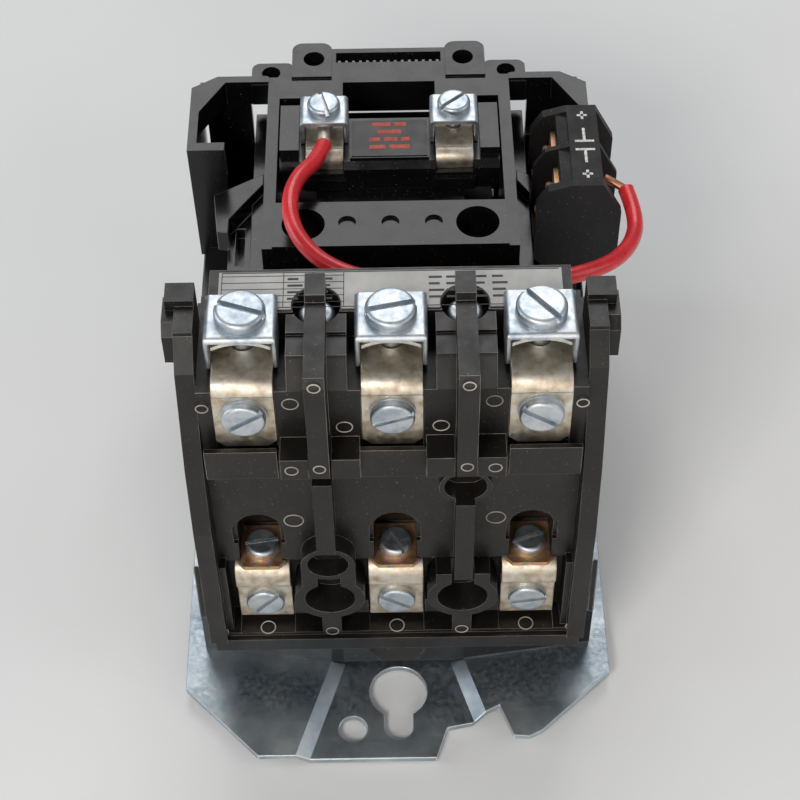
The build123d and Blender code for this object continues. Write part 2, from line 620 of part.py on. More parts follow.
def coil_label():
    """Thin label on the coil's raised field."""
    return block(-8.3, 8.3, COIL_FRONT + 1.8, 47.1, COIL_FACE + 0.9, COIL_FACE + 1.1)


def coil_terminal(side):
    """Plated strap on the coil's top, bent down into the case at its front edge."""
    thickness = 1.4
    mid = COIL_FACE + thickness / 2
    front = COIL_FRONT + 2.0
    body = strap([(50.0, mid), (front, mid), (front, 69.6)], thickness, side * COIL_TERMINAL_X, 8.2, 2.0)
    return body - post(side * COIL_TERMINAL_X, COIL_SCREW_Y, 1.7, 60, 80)


COIL_SADDLE_TOP = COIL_FACE + 1.4 + 4.8


def coil_clamp(side):
    """Small saddle over one coil terminal."""
    x = side * COIL_TERMINAL_X
    outer = 5.25
    near, far = 41.0, 49.8
    saddle = block(x - outer, x + outer, near, far, COIL_FACE + 0.1, COIL_SADDLE_TOP)
    saddle -= block(x - 4.4, x + 4.4, near - 1, far + 1, COIL_FACE, COIL_SADDLE_TOP - 1.1)
    crown = saddle.edges().filter_by(Axis.Y).group_by(Axis.Z)[-1]
    return fillet(crown, 0.9) - post(x, COIL_SCREW_Y, 1.65, 60, 80)


def coil_clamp_screw(side, angle):
    placing = Pos(side * COIL_TERMINAL_X, COIL_SCREW_Y, COIL_SADDLE_TOP)
    return placing * screw(3.6, 2.2, 1.5, 8.2, angle)


# Magnet housing
def housing_lugs():
    """Lugs at the far end, two on each side."""
    inner = block(12.9, 22.0, 63, 74.4, 62, HOUSING_FACE)
    outer = block(21.5, 31.2, 62, 69.3, 62, HOUSING_FACE - 1.4)
    lug = fillet(inner.edges().filter_by(Axis.Z).group_by(Axis.Y)[-1], 2.4)
    lug += fillet(outer.edges().filter_by(Axis.Z).group_by(Axis.Y)[-1], 2.0)
    return pair(lug)


def lug_holes():
    """Holes along Z through the four lugs."""
    return pair(post(*INNER_LUG, 2.4, 50, 80) + post(*OUTER_LUG, 2.1, 50, 80))


def housing_pocket():
    """Right open pocket beside the coil, with a webbed corner, open towards the rail."""
    near, far = POCKET_NEAR, FRAME_FAR + 2.2
    floor = DECK_TOP + WALL
    outline = [(near + 1.9, DECK_TOP), (near, POCKET_TOP), (far, POCKET_TOP), (far, DECK_TOP)]
    hollow = [(near + 4.1, floor), (near + 2, 80), (far - 2, 80), (far - 2, floor)]
    outer = prism_x(outline, RAIL_X[1], 44.6)
    inner = prism_x(hollow, RAIL_X[1] - 0.1, 42.6)
    corner = prism_z([(38.7, far + 0.1), (44.7, 60.5), (50, 60), (50, 75)], 30, 80)
    web = prism_z([(37.0, far - 1.9), (42.7, 52.5), (42.7, far - 1.9)], 65, POCKET_TOP)
    passage = block(RAIL_X[1] - 0.1, 36.4, near - 1, near + 5, floor, 80)
    return outer - inner - corner + web - passage


def rail_and_panel():
    """Front panel, side rails and the far frame around the coil."""
    near, far = PANEL_Y
    x0, x1 = RAIL_X
    frame_far = FRAME_FAR + 1.6
    body = block(-25, 25, near, far, HOUSING_FACE - 3, HOUSING_FACE)
    body += block(-25, 25, near, YOKE_NEAR - 0.1, DECK_TOP, HOUSING_FACE)
    body += pair(block(x0, x1, near, frame_far, DECK_TOP, HOUSING_FACE - 0.6))
    body += block(-x1, x1, 56.6, frame_far, 62.5, HOUSING_FACE - 0.6)
    body += pair(block(10.4, 19.4, 50.4, 57, 68, HOUSING_FACE - 0.6))
    body += block(-13.2, 13.2, FRAME_FAR, 73.0, 62.5, HOUSING_FACE - 0.6)
    body += pair(prism_x([(far - 2.2, 66), (far, 66), (far, 70), (far - 2.2, 70)], 9, 24.8))
    return body - block(-10.4, 10.4, 40, FRAME_FAR - 0.4, 60, 80)


def magnet_housing():
    body = rail_and_panel() + housing_lugs() + pair(housing_pocket())
    body += pair(block(RAIL_X[1] - 0.2, 42.6, 12, 46, DECK_TOP, DECK_TOP + WALL))
    body += block(-25, 25, PANEL_Y[0], YOKE_NEAR - 0.1, DECK_TOP, STACK_Z[0])
    body += block(-25, 25, YOKE_NEAR - 0.2, COIL_Y[0] - 0.1, DECK_TOP, STACK_Z[0])
    body += pair(post(*HOUSING_SCREWS, 6.0, STACK_Z[1], HOUSING_FACE - 2) & block(0, 25, 0, 30, 0, 80))
    body -= pair(post(*HOUSING_SCREWS, 4.6, WELL_FLOOR, 80) + post(*HOUSING_SCREWS, 1.9, 50, 80))
    body -= [post(x, 17.2, 1.9, HOUSING_FACE - 0.8, 80) for x in (-9.2, 0, 9.2)]
    body -= pair(block(RAIL_X[0] - 1, RAIL_X[1] + 0.1, 43, FRAME_FAR + 3, 39, 60))
    body -= block(ARM_X[1] + 0.2, 50, 20, AUX_Y[1] + 0.3, AUX_Z[0] - 0.3, 80)
    body -= pair(block(ARM_X[0] - 0.6, ARM_X[1] + 0.6, 30, FRAME_FAR + 5, 40, 64.7))
    body -= block(ARM_X[1] + 0.2, 41.0, AUX_Y[1], LUG_NEAR + 3.2, 51.4, 61.6)
    body -= stud(AUX_X, PLUNGER_Z, PLUNGER_R + 0.3, AUX_Y[1], LUG_NEAR + 0.5)
    return body - lug_holes() - block(-12.0, 12.0, 68.3, 71.6, 50, 80)


def housing_screws():
    x, y = HOUSING_SCREWS
    return Part() + [Pos(side * x, y, WELL_FLOOR) * screw(3.6, 2.4, 1.8, 12, 40 * side) for side in SIDES]


# Auxiliary contact
AUX_CORE = 4.0
AUX_CHAMBER_Y = (38.4, 46.2)
AUX_BRIDGE_Y = (44.8, 45.8)
PLUNGER_Z = 57.5
PLUNGER_R = 2.05
AUX_SCREW_Z = 65.5
AUX_SCREW_Y = (AUX_Y[0] + 7.1, AUX_Y[0] + 18.5)


def octagon_y(y0, y1):
    """Many-sided slice of the auxiliary contact's body, sloping more on its inner side."""
    low, high = AUX_Z
    half = AUX_HALF
    points = [(-half, low + 4.4), (-4.9, low), (4.9, low), (half, low + 4.4), (half, high - 8.4), (4.9, high),
              (-1.6, high), (-6.8, high - 1.6), (-half, high - 6.0)]
    return prism_y([(AUX_X + x, z) for x, z in points], y0, y1)


def aux_housing():
    """Insulating body with three fins and two pockets on each side of a top strip."""
    near, far = AUX_Y
    body = octagon_y(near, near + 2) + octagon_y(near + 12.0, near + 13.2) + octagon_y(far - 2, far)
    body += block(AUX_X - 1.6, AUX_X + 4.9, near, far, AUX_Z[1] - 2.5, AUX_Z[1])
    body += block(AUX_X - AUX_CORE, AUX_X + AUX_CORE, near, far, AUX_Z[0], AUX_Z[1] - 1)
    body += block(AUX_X - AUX_HALF, AUX_X + AUX_HALF, near, far, AUX_Z[0] + 4.4, AUX_Z[0] + 8)
    body += block(34.5, 41.8, near + 1, near + 12, DECK_TOP + WALL, AUX_Z[0] + 5)
    body -= block(AUX_X - 2.8, AUX_X + 2.8, *AUX_CHAMBER_Y, 52.5, 62.5)
    return body - stud(AUX_X, PLUNGER_Z, PLUNGER_R + 0.05, near + 4, far + 1)


def aux_terminals():
    """Bent terminals in the four pockets of the auxiliary contact."""
    plates = Part()
    for y in AUX_SCREW_Y:
        plate = block(AUX_CORE, AUX_CORE + 1.0, y - 3.5, y + 3.5, 57.5, 70)
        plate += block(AUX_CORE, AUX_CORE + 4.6, y - 3.5, y + 3.5, 57.5, 58.5)
        plate -= axle(y, AUX_SCREW_Z, 1.0, AUX_CORE - 1, AUX_CORE + 2)
        plates += Pos(AUX_X, 0, 0) * pair(plate)
    return plates


def aux_terminal_screws():
    screws = Part()
    for y in AUX_SCREW_Y:
        for side in SIDES:
            place = Pos(AUX_X + side * (AUX_CORE + 1.0), y, AUX_SCREW_Z) * Rot(Y=90 * side)
            screws += place * screw(2.6, 1.6, 1.0, 1.0, 25)
    return screws


def aux_plunger():
    """Push rod of the auxiliary contact."""
    return stud(AUX_X, PLUNGER_Z, PLUNGER_R, AUX_Y[0] + 10, LUG_NEAR - 0.1)


def aux_bridge():
    """Moving contact strip on the push rod."""
    strip = block(AUX_X - 2.6, AUX_X + 2.6, *AUX_BRIDGE_Y, 53.2, 61.8)
    return strip - stud(AUX_X, PLUNGER_Z, PLUNGER_R, 40, 50)


def aux_fixed_contacts():
    """Fixed contact tips on the near wall of the auxiliary contact's chamber."""
    near = AUX_CHAMBER_Y[0]
    return block(AUX_X - 1.4, AUX_X + 1.4, near, near + 0.8, 53.2, 55.2) + block(
        AUX_X - 1.4, AUX_X + 1.4, near, near + 0.8, 59.8, 61.8)


# Jumper wire
WIRE_ROUTE = [
    (-14.2, 37.5, 75.2), (-15.6, 31.5, 76.3), (-19.4, 25.5, 78.0), (-21.4, 17.5, 78.3), (-19.8, 9.0, 77.0),
    (-13.5, 2.0, 75.0), (-2.0, -1.6, 73.5), (11.0, -2.6, 73.0), (25.0, -2.2, 73.0), (37.5, 0.2, 72.6),
    (46.5, 6.2, 70.0), (51.6, 14.5, 67.4), (53.2, 23.0, 66.4), (51.4, 30.2, 67.4),
]


def wire_radii():
    """Arc radius at each corner, as large as its two runs allow."""
    radii = []
    for before, corner, after in zip(WIRE_ROUTE, WIRE_ROUTE[1:], WIRE_ROUTE[2:]):
        first = Vector(corner) - Vector(before)
        second = Vector(after) - Vector(corner)
        turn = radians(first.get_angle(second))
        radii.append(0.45 * min(first.length, second.length) / tan(turn / 2))
    return radii


def jumper_wire():
    """Insulated wire from the left coil terminal to the auxiliary contact."""
    path = FilletPolyline(*WIRE_ROUTE, radius=wire_radii())
    section = Plane(origin=path @ 0, z_dir=path % 0) * Circle(WIRE_R)
    wire = sweep(section, path=path)
    print("wire radii", [round(r, 1) for r in wire_radii()])
    tube_volume = pi * WIRE_R ** 2 * path.length
    print("wire length", round(path.length, 1), "volume ratio", round(wire.volume / tube_volume, 4))
    return wire


def wire_end(start, end, radius):
    """Straight round piece between two points."""
    axis = Vector(end) - Vector(start)
    return extrude(Plane(origin=start, z_dir=axis) * Circle(radius), axis.length)


def main():
    parts = {
        "base_plate": base_plate(), "base_moulding": base_moulding(), "plate_screws": plate_screws(),
        "contact_block_base": contact_block_base(), "contact_block_front": contact_block_front(),
        "rating_label": rating_label(), "block_screws": block_screws(),
        "front_strap_screws": front_strap_screws(), "rear_plates": rear_plates(),
        "rear_inner_screws": rear_inner_screws(), "rear_outer_screws": rear_outer_screws(),
        "front_fixed_contacts": fixed_contacts(FRONT_TIP_Z),
        "rear_fixed_contacts": fixed_contacts(REAR_TIP_Z),
        "crossbar": crossbar(), "bridge_springs": bridge_springs(),
        "return_springs": return_springs(), "armature": armature(), "armature_carrier": armature_carrier(),
        "carrier_pins": carrier_pins(), "magnet_yoke": magnet_yoke(), "shading_rings": shading_rings(),
        "coil_bobbin": coil_bobbin(), "coil_winding": coil_winding(), "coil_case": coil_case(),
        "coil_label": coil_label(), "magnet_housing": magnet_housing(), "housing_screws": housing_screws(),
        "coil_terminal_left": coil_terminal(-1), "coil_terminal_right": coil_terminal(1),
        "coil_clamp_left": coil_clamp(-1), "coil_clamp_right": coil_clamp(1),
        "coil_clamp_screw_left": coil_clamp_screw(-1, -75), "coil_clamp_screw_right": coil_clamp_screw(1, 40),
        "aux_housing": aux_housing(), "aux_terminals": aux_terminals(),
        "aux_terminal_screws": aux_terminal_screws(), "aux_plunger": aux_plunger(),
        "aux_bridge": aux_bridge(), "aux_fixed_contacts": aux_fixed_contacts(),
        "jumper_wire": jumper_wire(),
        "wire_ferrule": wire_end((-14.2, 43.8, 75.2), WIRE_ROUTE[0], 1.4),
        "wire_bare_end": wire_end(WIRE_ROUTE[-1], (46.7, 32.0, 69.3), 0.9),
    }
    for index, x in enumerate(POLES):
        number = index + 1
        parts[f"front_strap_{number}"] = front_strap(x)
        parts[f"saddle_clamp_{number}"] = saddle_clamp(x)
        parts[f"pressure_plate_{number}"] = pressure_plate(x)
        parts[f"clamp_screw_{number}"] = clamp_screw(index)
        parts[f"rear_strap_{number}"] = rear_strap(x)
        parts[f"contact_bridge_{number}"] = contact_bridge(x)
    for name, shape in parts.items():
        export_step(shape, f"parts/{name}.step")


main()
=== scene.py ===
"""Looks for an open three-pole magnetic motor starter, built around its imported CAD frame."""
import json
import math

import bmesh
import bpy
from mathutils import Matrix, Vector


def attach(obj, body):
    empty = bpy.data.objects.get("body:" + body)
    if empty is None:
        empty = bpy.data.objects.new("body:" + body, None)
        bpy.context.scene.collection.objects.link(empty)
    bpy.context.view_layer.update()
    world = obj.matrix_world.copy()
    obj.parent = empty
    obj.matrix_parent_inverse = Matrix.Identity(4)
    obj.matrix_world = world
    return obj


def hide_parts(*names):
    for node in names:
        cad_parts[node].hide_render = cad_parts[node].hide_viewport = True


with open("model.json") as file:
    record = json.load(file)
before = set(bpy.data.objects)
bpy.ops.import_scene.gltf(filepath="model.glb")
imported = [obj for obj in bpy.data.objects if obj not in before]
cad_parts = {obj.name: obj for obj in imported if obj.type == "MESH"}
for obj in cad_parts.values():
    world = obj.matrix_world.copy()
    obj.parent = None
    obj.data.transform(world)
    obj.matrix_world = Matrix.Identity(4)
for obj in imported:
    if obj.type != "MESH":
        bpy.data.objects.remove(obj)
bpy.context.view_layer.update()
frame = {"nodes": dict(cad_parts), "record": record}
nodes = frame["nodes"]

MM = 0.001
POLES_MM = (-27.0, 0.0, 27.0)


# Node helpers
def add_node(tree, kind, **values):
    """New shader node. A key that is not a property is taken as an input's name."""
    made = tree.nodes.new(kind)
    for key, value in values.items():
        if hasattr(made, key):
            setattr(made, key, value)
        else:
            made.inputs[key.replace("_", " ")].default_value = value
    return made


def object_coordinates(tree, stretch=(1, 1, 1)):
    """Object coordinates in millimetres, stretched along each axis."""
    coordinates = add_node(tree, "ShaderNodeTexCoord")
    mapping = add_node(tree, "ShaderNodeMapping")
    mapping.inputs["Scale"].default_value = [1000 * s for s in stretch]
    tree.links.new(coordinates.outputs["Object"], mapping.inputs["Vector"])
    return mapping.outputs["Vector"]


def noise(tree, size, detail=4.0, rough=0.55, stretch=(1, 1, 1)):
    """Noise value whose features are about size millimetres across."""
    texture = add_node(tree, "ShaderNodeTexNoise", Scale=1.0 / size, Detail=detail, Roughness=rough)
    tree.links.new(object_coordinates(tree, stretch), texture.inputs["Vector"])
    return texture.outputs["Fac"]


def ramp(tree, value, stops):
    """Colour ramp from (position, colour) stops."""
    made = add_node(tree, "ShaderNodeValToRGB")
    elements = made.color_ramp.elements
    while len(elements) < len(stops):
        elements.new(0.5)
    for element, (position, colour) in zip(elements, stops):
        element.position = position
        element.color = (*colour, 1.0) if len(colour) == 3 else colour
    tree.links.new(value, made.inputs["Fac"])
    return made.outputs["Color"]


def remap(tree, value, low, high, to_low, to_high):
    """Value moved linearly from one range to another."""
    made = add_node(tree, "ShaderNodeMapRange")
    for name, number in zip(("From Min", "From Max", "To Min", "To Max"), (low, high, to_low, to_high)):
        made.inputs[name].default_value = number
    tree.links.new(value, made.inputs["Value"])
    return made.outputs["Result"]


def mix_colour(tree, factor, first, second):
    """Mix of two colours by a factor socket."""
    made = add_node(tree, "ShaderNodeMix", data_type="RGBA")
    tree.links.new(factor, made.inputs[0])
    for index, colour in ((6, first), (7, second)):
        if isinstance(colour, bpy.types.NodeSocket):
            tree.links.new(colour, made.inputs[index])
        else:
            made.inputs[index].default_value = (*colour, 1.0)
    return made.outputs[2]


def add_bump(tree, heights, distance=0.0001):
    """Chain of bump nodes, one for each (height, strength), joined to the shader's normal."""
    previous = None
    for height, strength in heights:
        bump = add_node(tree, "ShaderNodeBump", Strength=strength, Distance=distance)
        tree.links.new(height, bump.inputs["Height"])
        if previous:
            tree.links.new(previous, bump.inputs["Normal"])
        previous = bump.outputs["Normal"]
    tree.links.new(previous, tree.nodes["Principled BSDF"].inputs["Normal"])


def new_material(name, **sockets):
    """Material whose shader sockets hold constant values."""
    material = bpy.data.materials.new(name)
    material.use_nodes = True
    shader = material.node_tree.nodes["Principled BSDF"]
    for key, value in sockets.items():
        shader.inputs[key.replace("_", " ")].default_value = value
    return material, material.node_tree, shader


# Materials
def moulding(name, dark, light, rough, grain=0.25, wave=0.15, dusty=0.5):
    """Thermoset moulding: cloudy dark colour, pale dust, uneven gloss and a fine grain."""
    material, tree, shader = new_material(name, Specular_IOR_Level=0.38)
    cloud = ramp(tree, noise(tree, 9.0, 5.0), [(0.3, dark), (0.72, light)])
    dust = remap(tree, noise(tree, 0.35, 2.0, 0.4), 0.72, 0.78, 0.0, dusty)
    tree.links.new(mix_colour(tree, dust, cloud, (0.42, 0.40, 0.37)), shader.inputs["Base Color"])
    smear = noise(tree, 4.0, 6.0, 0.6, (1, 1, 0.35))
    tree.links.new(remap(tree, smear, 0.3, 0.7, rough[0], rough[1]), shader.inputs["Roughness"])
    add_bump(tree, [(noise(tree, 6.0, 2.0), wave), (noise(tree, 0.25, 3.0), grain)], 0.00008)
    return material


def plated_metal(name, stops, rough, scratch=0.25, tint_size=3.0):
    """Plated metal with drifting tint, uneven gloss and fine scratches."""
    material, tree, shader = new_material(name, Metallic=1.0)
    tree.links.new(ramp(tree, noise(tree, tint_size, 4.0), stops), shader.inputs["Base Color"])
    dull = noise(tree, 1.2, 6.0, 0.65)
    tree.links.new(remap(tree, dull, 0.3, 0.7, rough[0], rough[1]), shader.inputs["Roughness"])
    lines = noise(tree, 0.5, 3.0, 0.5, (6, 0.5, 1))
    add_bump(tree, [(noise(tree, 1.8, 3.0), 0.2), (lines, scratch)], 0.00006)
    return material


def make_mouldings():
    """Mouldings, their paler edge copies that paint a highlight along the bevels, and the coil's dark label.
    """
    return {
        "black_satin": moulding("satin moulding", (0.005, 0.0042, 0.0038), (0.013, 0.0108, 0.0092),
                                (0.3, 0.48)),
        # Paler copies of the black mouldings for the bevel faces: a painted edge highlight; their dust is
        # real dust
        "satin_edge_highlight": moulding("satin moulding edge highlight", (0.16, 0.145, 0.13), (0.58, 0.54, 0.49), (0.3, 0.5),
                               dusty=0.9),
        "black_gloss": moulding("gloss moulding", (0.0035, 0.0035, 0.004), (0.0075, 0.007, 0.0068),
                                (0.12, 0.26), grain=0.08, wave=0.25),
        "gloss_edge_highlight": moulding("gloss moulding edge highlight", (0.03, 0.03, 0.031), (0.24, 0.235, 0.23), (0.2, 0.35)),
        "black_matte": moulding("matt moulding", (0.007, 0.007, 0.008), (0.014, 0.0135, 0.014), (0.5, 0.66),
                                grain=0.45),
        "matte_edge_highlight": moulding("matt moulding edge highlight", (0.02, 0.02, 0.022), (0.09, 0.087, 0.085), (0.45, 0.6)),
        "laminated_steel": moulding("oxide laminations", (0.008, 0.008, 0.009), (0.03, 0.03, 0.032),
                                    (0.3, 0.5), grain=0.8),
        "coil_label": moulding("coil label", (0.02, 0.017, 0.016), (0.032, 0.028, 0.026), (0.3, 0.42)),
    }


def make_metals():
    """Plated and bare metals."""
    return {
        "zinc_steel": plated_metal(
            "blue-white zinc",
            [(0.3, (0.36, 0.43, 0.49)), (0.5, (0.56, 0.61, 0.65)), (0.74, (0.70, 0.71, 0.70))],
            (0.38, 0.56)),
        "zinc_plate": plated_metal(
            "zinc sheet", [(0.3, (0.30, 0.355, 0.40)), (0.5, (0.42, 0.48, 0.52)), (0.7, (0.62, 0.68, 0.70))],
            (0.34, 0.52), scratch=0.12, tint_size=11.0),
        # Pale cut edge of the sheet: a painted highlight along its thickness
        "zinc_cut_highlight": plated_metal("zinc cut edge highlight", [(0.3, (0.62, 0.67, 0.72)), (0.7, (0.86, 0.89, 0.9))],
                                 (0.3, 0.5)),
        "pale_zinc": plated_metal(
            "pale zinc", [(0.34, (0.56, 0.58, 0.56)), (0.58, (0.74, 0.74, 0.70)), (0.7, (0.78, 0.66, 0.36))],
            (0.3, 0.5), scratch=0.2, tint_size=1.5),
        "yellow_zinc": plated_metal(
            "yellow iridescent zinc",
            [(0.3, (0.22, 0.36, 0.50)), (0.42, (0.66, 0.50, 0.24)), (0.52, (0.78, 0.40, 0.16)),
             (0.62, (0.74, 0.36, 0.44)), (0.72, (0.74, 0.70, 0.62))],
            (0.42, 0.6), scratch=0.2, tint_size=1.3),
        # The tan stops paint a reflection of warm surroundings into the tin's colour
        "tin_plate": plated_metal(
            "bright tin with painted warm reflection", [(0.3, (0.50, 0.40, 0.29)), (0.5, (0.72, 0.64, 0.52)), (0.72, (0.84, 0.81, 0.74))],
            (0.4, 0.6), scratch=0.35, tint_size=2.2),
        "silver_alloy": plated_metal("silver alloy", [(0.3, (0.7, 0.7, 0.68)), (0.7, (0.9, 0.9, 0.88))],
                                     (0.4, 0.6)),
        "spring_steel": plated_metal("spring steel", [(0.3, (0.32, 0.33, 0.35)), (0.7, (0.5, 0.5, 0.52))],
                                     (0.3, 0.45)),
        "copper": plated_metal("copper", [(0.3, (0.72, 0.32, 0.18)), (0.7, (0.92, 0.52, 0.34))],
                               (0.25, 0.45)),
    }


def make_materials():
    """Every finish on the object, by name."""
    return {
        **make_mouldings(),
        **make_metals(),
        "label_foil": label_foil(),
        "red_pvc": red_insulation(),
        "label_ink": print_ink("label ink", (0.03, 0.03, 0.035)),
        "red_ink": print_ink("red ink", (0.55, 0.07, 0.03)),
        "white_ink": print_ink("white ink", (0.75, 0.75, 0.72)),
    }


def label_foil():
    """Dull silver foil, only partly mirror-like."""
    material, tree, shader = new_material("label foil", Metallic=0.35, Roughness=0.52)
    tree.links.new(ramp(tree, noise(tree, 6.0), [(0.3, (0.33, 0.325, 0.31)), (0.7, (0.43, 0.425, 0.41))]),
                   shader.inputs["Base Color"])
    add_bump(tree, [(noise(tree, 2.5, 3.0), 0.12)], 0.00005)
    return material


def print_ink(name, colour):
    """Matt printing ink, worn thin in places."""
    material, tree, shader = new_material(name, Roughness=0.55)
    worn = tuple(0.6 * part for part in colour)
    tint = ramp(tree, noise(tree, 0.8, 4.0), [(0.35, worn), (0.55, colour)])
    tree.links.new(tint, shader.inputs["Base Color"])
    return material


def red_insulation():
    """Glossy red PVC with faint length-wise draw marks."""
    material, tree, shader = new_material("red insulation", Subsurface_Weight=0.15, Subsurface_Scale=0.0006,
                                          Coat_Weight=0.25, Coat_Roughness=0.18)
    shader.inputs["Subsurface Radius"].default_value = (1.0, 0.2, 0.1)
    drift = noise(tree, 5.0, 3.0)
    tree.links.new(ramp(tree, drift, [(0.3, (0.62, 0.012, 0.022)), (0.7, (0.78, 0.028, 0.036))]),
                   shader.inputs["Base Color"])
    tree.links.new(remap(tree, noise(tree, 1.0, 5.0), 0.3, 0.7, 0.24, 0.4), shader.inputs["Roughness"])
    add_bump(tree, [(noise(tree, 1.4, 3.0), 0.2)], 0.00006)
    return material


materials = make_materials()
# Paler finish for each bevel: a painted edge highlight
EDGE_HIGHLIGHT_OF = {"black_satin": "satin_edge_highlight", "black_gloss": "gloss_edge_highlight", "black_matte": "matte_edge_highlight",
           "zinc_plate": "zinc_cut_highlight"}
PLAIN_BEVEL_MM = 0.12
BEVELS_MM = {
    "black_satin": 0.24, "black_gloss": 0.3, "black_matte": 0.2, "zinc_plate": 0.2, "zinc_steel": 0.18,
    "tin_plate": 0.2, "red_pvc": 0.0, "label_foil": 0.0, "coil_label": 0.0,
}


def round_edges(obj, width_mm, edge_highlight_material):
    """Weld and bevel modifiers, with the bevel's faces in the paler edge material, a painted edge highlight.
    """
    weld = obj.modifiers.new("weld", "WELD")
    weld.merge_threshold = 0.01 * MM
    bevel = obj.modifiers.new("rounded edges", "BEVEL")
    bevel.width = width_mm * MM
    bevel.segments = 2
    bevel.limit_method = "ANGLE"
    bevel.angle_limit = math.radians(38)
    bevel.harden_normals = False
    if edge_highlight_material:
        bevel.material = 1


def dress_cad_nodes():
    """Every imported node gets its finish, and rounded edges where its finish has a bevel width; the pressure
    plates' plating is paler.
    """
    slots = {part["node"]: part["material_slot"] for part in frame["record"]["subparts"]}
    for name, obj in nodes.items():
        slot = slots[name]
        obj.data.materials.clear()
        finish = "pale_zinc" if name.startswith("pressure_plate") else slot
        obj.data.materials.append(materials[finish])
        # The paler edge material on the bevel faces paints a highlight along every rounded edge
        edge = EDGE_HIGHLIGHT_OF.get(slot)
        if edge:
            obj.data.materials.append(materials[edge])
        width = BEVELS_MM.get(slot, PLAIN_BEVEL_MM)
        if width:
            round_edges(obj, width, edge)


dress_cad_nodes()

# The jumper wire
WIRE_RADIUS = 1.75 * MM
WIRE_ROUTE_MM = [
    (-14.2, 37.5, 75.2), (-15.6, 31.5, 76.3), (-19.4, 25.5, 78.0), (-21.4, 17.5, 78.3), (-19.8, 9.0, 77.0),
    (-13.5, 2.0, 75.0), (-2.0, -1.6, 73.5), (11.0, -2.6, 73.0), (25.0, -2.2, 73.0), (37.5, 0.2, 72.6),
    (46.5, 6.2, 70.0), (51.6, 14.5, 67.4), (53.2, 23.0, 66.4), (51.4, 30.2, 67.4),
]


def make_wire():
    """Insulated wire from the left coil terminal to the auxiliary contact."""
    curve = bpy.data.curves.new("insulated_wire", "CURVE")
    curve.dimensions = "3D"
    curve.resolution_u = 12
    curve.bevel_depth = WIRE_RADIUS
    curve.bevel_resolution = 8
    curve.use_fill_caps = True
    spline = curve.splines.new("NURBS")
    spline.points.add(len(WIRE_ROUTE_MM) - 1)
    for point, place in zip(spline.points, WIRE_ROUTE_MM):
        point.co = (*[c * MM for c in place], 1.0)
    spline.order_u = 3
    spline.use_endpoint_u = True
    wire = bpy.data.objects.new("insulated_wire", curve)
    bpy.context.scene.collection.objects.link(wire)
    curve.materials.append(materials["red_pvc"])
    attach(wire, "frame")
    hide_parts("jumper_wire")


make_wire()


# Moulded marks and printing that ride on the fixed frame
RING_STEPS = (28, 6)        # steps round an ejector mark and round its bead
BEAD_MM = 0.13
LABEL_TOP_MM = 105.3
LABEL_ROW_MM = 1.6
COIL_LABEL_TOP_MM = 73.1
COIL_ROW_MM = 2.35
STRIP_TOP_MM = 75.0
INK_MM = 0.04
COIL_INK_MM = 0.03
NEAR_MARKS_MM = [           # x of the right one of a mirrored pair, y, z and radius
    (19.8, -49.5, 57.7, 1.9), (18.5, -49.5, 94.4, 1.5), (8.9, -49.5, 87.4, 1.5), (34.5, -50.0, 94.0, 1.1),
    (18.8, -55.0, 81.5, 1.2), (36.5, -53.3, 23.0, 1.3), (13.5, -57.0, 108.0, 1.1), (13.5, -57.0, 84.5, 1.1),
    (13.5, -53.3, 22.7, 1.3),
]


def cube_into(mesh, x0, x1, y0, y1, z0, z1):
    """Box between two corners given in millimetres."""
    centre = Vector((x0 + x1, y0 + y1, z0 + z1)) * MM / 2
    size = [abs(c) * MM for c in (x1 - x0, y1 - y0, z1 - z0)]
    bmesh.ops.create_cube(mesh, size=1.0, matrix=Matrix.Translation(centre) @ Matrix.Diagonal((*size, 1.0)))


def ring_into(mesh, centre, radius, tube, facing):
    """Thin raised ring around a centre in millimetres, facing up or towards the near end."""
    turn = Matrix.Rotation(math.radians(90 if facing == "near" else 0), 4, "X")
    place = Matrix.Translation(Vector(centre) * MM) @ turn
    around, across = RING_STEPS
    loops = []
    for i in range(around):
        a = 2 * math.pi * i / around
        loop = []
        for j in range(across):
            b = 2 * math.pi * j / across
            reach = (radius + tube * math.cos(b)) * MM
            point = Vector((reach * math.cos(a), reach * math.sin(a), tube * math.sin(b) * MM))
            loop.append(mesh.verts.new(place @ point))
        loops.append(loop)
    for i, loop in enumerate(loops):
        following = loops[(i + 1) % around]
        for j in range(across):
            k = (j + 1) % across
            mesh.faces.new((loop[j], following[j], following[k], loop[k]))


def finish_detail(name, mesh, material, smooth=False):
    """Detail object from a filled mesh, riding on the frame."""
    data = bpy.data.meshes.new(name)
    mesh.to_mesh(data)
    mesh.free()
    if smooth:
        data.shade_smooth()
    else:
        data.shade_flat()
    data.materials.append(materials[material])
    detail = bpy.data.objects.new(name, data)
    bpy.context.scene.collection.objects.link(detail)
    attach(detail, "frame")


def make_ejector_rings():
    """Marks that the mould's ejector pins left on the contact block, coloured pale as a painted highlight."""
    mesh = bmesh.new()
    for x, y, z, radius in NEAR_MARKS_MM:
        for side in (-1, 1):
            ring_into(mesh, (side * x, y, z), radius, BEAD_MM, "near")
    for x in POLES_MM:
        ring_into(mesh, (x, -51.7, 22.0), 1.5, BEAD_MM, "up")
    finish_detail("ejector_rings", mesh, "satin_edge_highlight", smooth=True)


